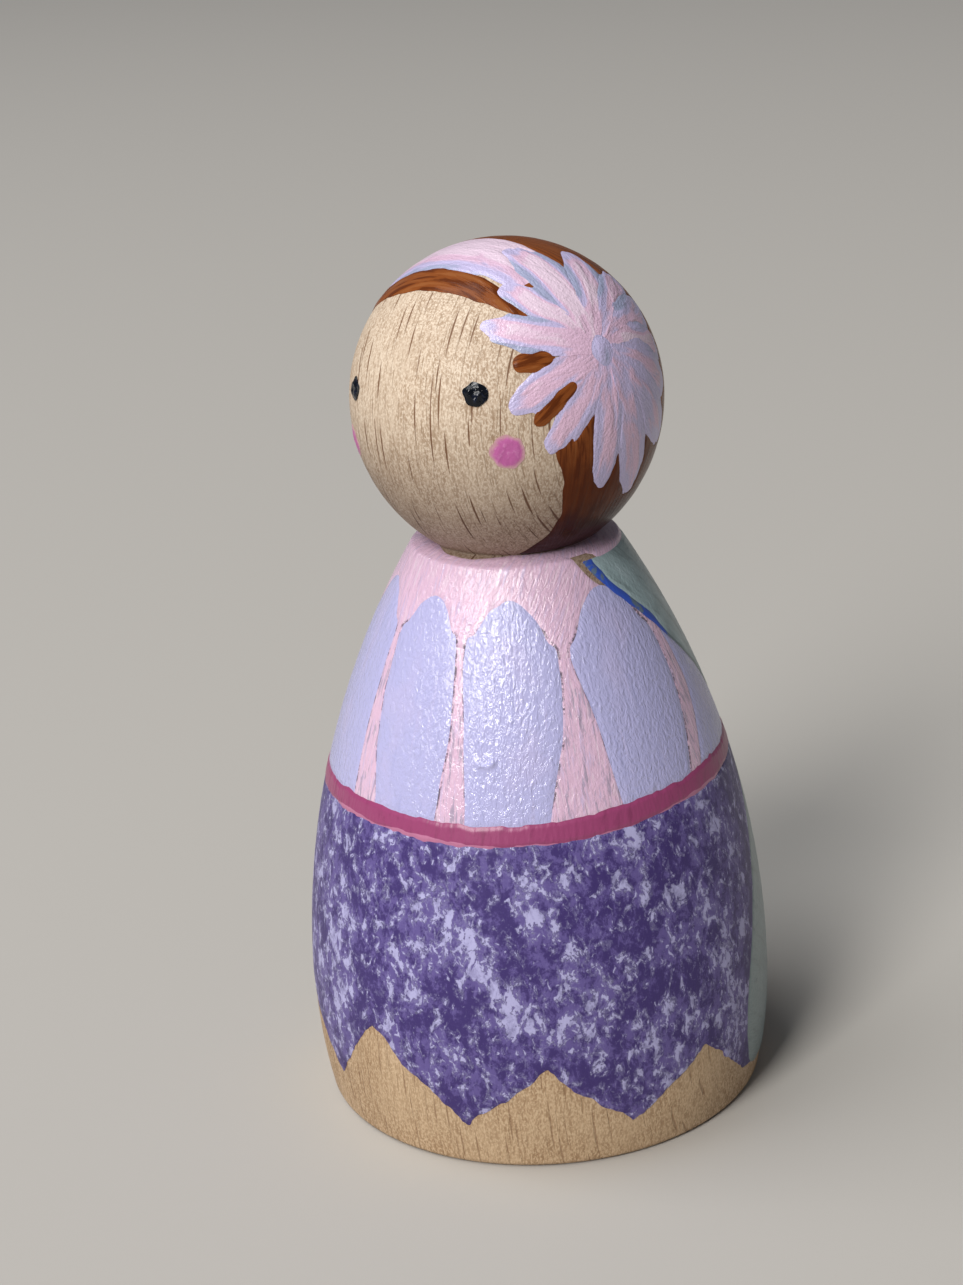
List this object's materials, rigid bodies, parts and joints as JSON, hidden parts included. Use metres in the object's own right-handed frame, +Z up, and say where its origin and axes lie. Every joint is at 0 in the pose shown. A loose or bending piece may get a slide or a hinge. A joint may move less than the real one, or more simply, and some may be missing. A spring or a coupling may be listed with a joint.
{
  "type": "painted peg doll",
  "caption": "Small turned beech peg doll with a ball head and bell-shaped body, hand-painted with hair, a daisy, a petal bodice, a dabbed skirt and wings.",
  "frame": {"origin": "middle of the flat base, on the surface that the doll stands on", "axes": "+Z up along the turning axis, the face looks along -Y, the doll's left is +X"},
  "size_m": [0.031, 0.031, 0.0571],
  "materials": {
    "beech": "bare turned beech, vertical grain with thin ray flecks, satin from handling",
    "hair_brown": "rust-brown acrylic paint, brushed, semi-gloss",
    "pink_paint": "pale pink acrylic paint, brushed, semi-gloss",
    "petal_paint": "pink and lavender acrylic paint in streaked brush strokes, semi-gloss",
    "bodice_paint": "light lavender-blue acrylic paint, glossy, with fine orange-peel relief",
    "waist_paint": "raspberry acrylic paint, brushed, semi-gloss",
    "skirt_paint": "dark violet acrylic paint, sponge-dabbed with lavender, satin",
    "wing_paint": "grey-teal acrylic paint, brushed, semi-gloss",
    "line_paint": "ultramarine acrylic line, semi-gloss",
    "eye_paint": "black enamel dot, glossy",
    "cheek_paint": "magenta-pink acrylic dot, satin"
  },
  "bodies": {
    "root": {"bodice_petal_1": "bodice_paint", "bodice_petal_2": "bodice_paint", "bodice_petal_3": "bodice_paint", "bodice_petal_4": "bodice_paint", "bodice_petal_5": "bodice_paint", "bodice_petal_6": "bodice_paint", "bodice_petal_7": "bodice_paint", "cheek_left": "cheek_paint", "cheek_right": "cheek_paint", "collar": "pink_paint", "eye_left": "eye_paint", "eye_right": "eye_paint", "flower_centre": "petal_paint", "flower_petal_1": "petal_paint", "flower_petal_10": "petal_paint", "flower_petal_11": "petal_paint", "flower_petal_12": "petal_paint", "flower_petal_13": "petal_paint", "flower_petal_2": "petal_paint", "flower_petal_3": "petal_paint", "flower_petal_4": "petal_paint", "flower_petal_5": "petal_paint", "flower_petal_6": "petal_paint", "flower_petal_7": "petal_paint", "flower_petal_8": "petal_paint", "flower_petal_9": "petal_paint", "fringe_lock": "hair_brown", "hair": "hair_brown", "headband": "petal_paint", "seam_1": "pink_paint", "seam_2": "pink_paint", "seam_3": "pink_paint", "seam_4": "pink_paint", "seam_5": "pink_paint", "seam_6": "pink_paint", "skirt": "skirt_paint", "tuft_lower": "hair_brown", "tuft_upper": "hair_brown", "turned_peg": "beech", "waistband": "waist_paint", "wing_edge_left": "line_paint", "wing_edge_right": "line_paint", "wing_left": "wing_paint", "wing_right": "wing_paint"}
  },
  "joints": []
}
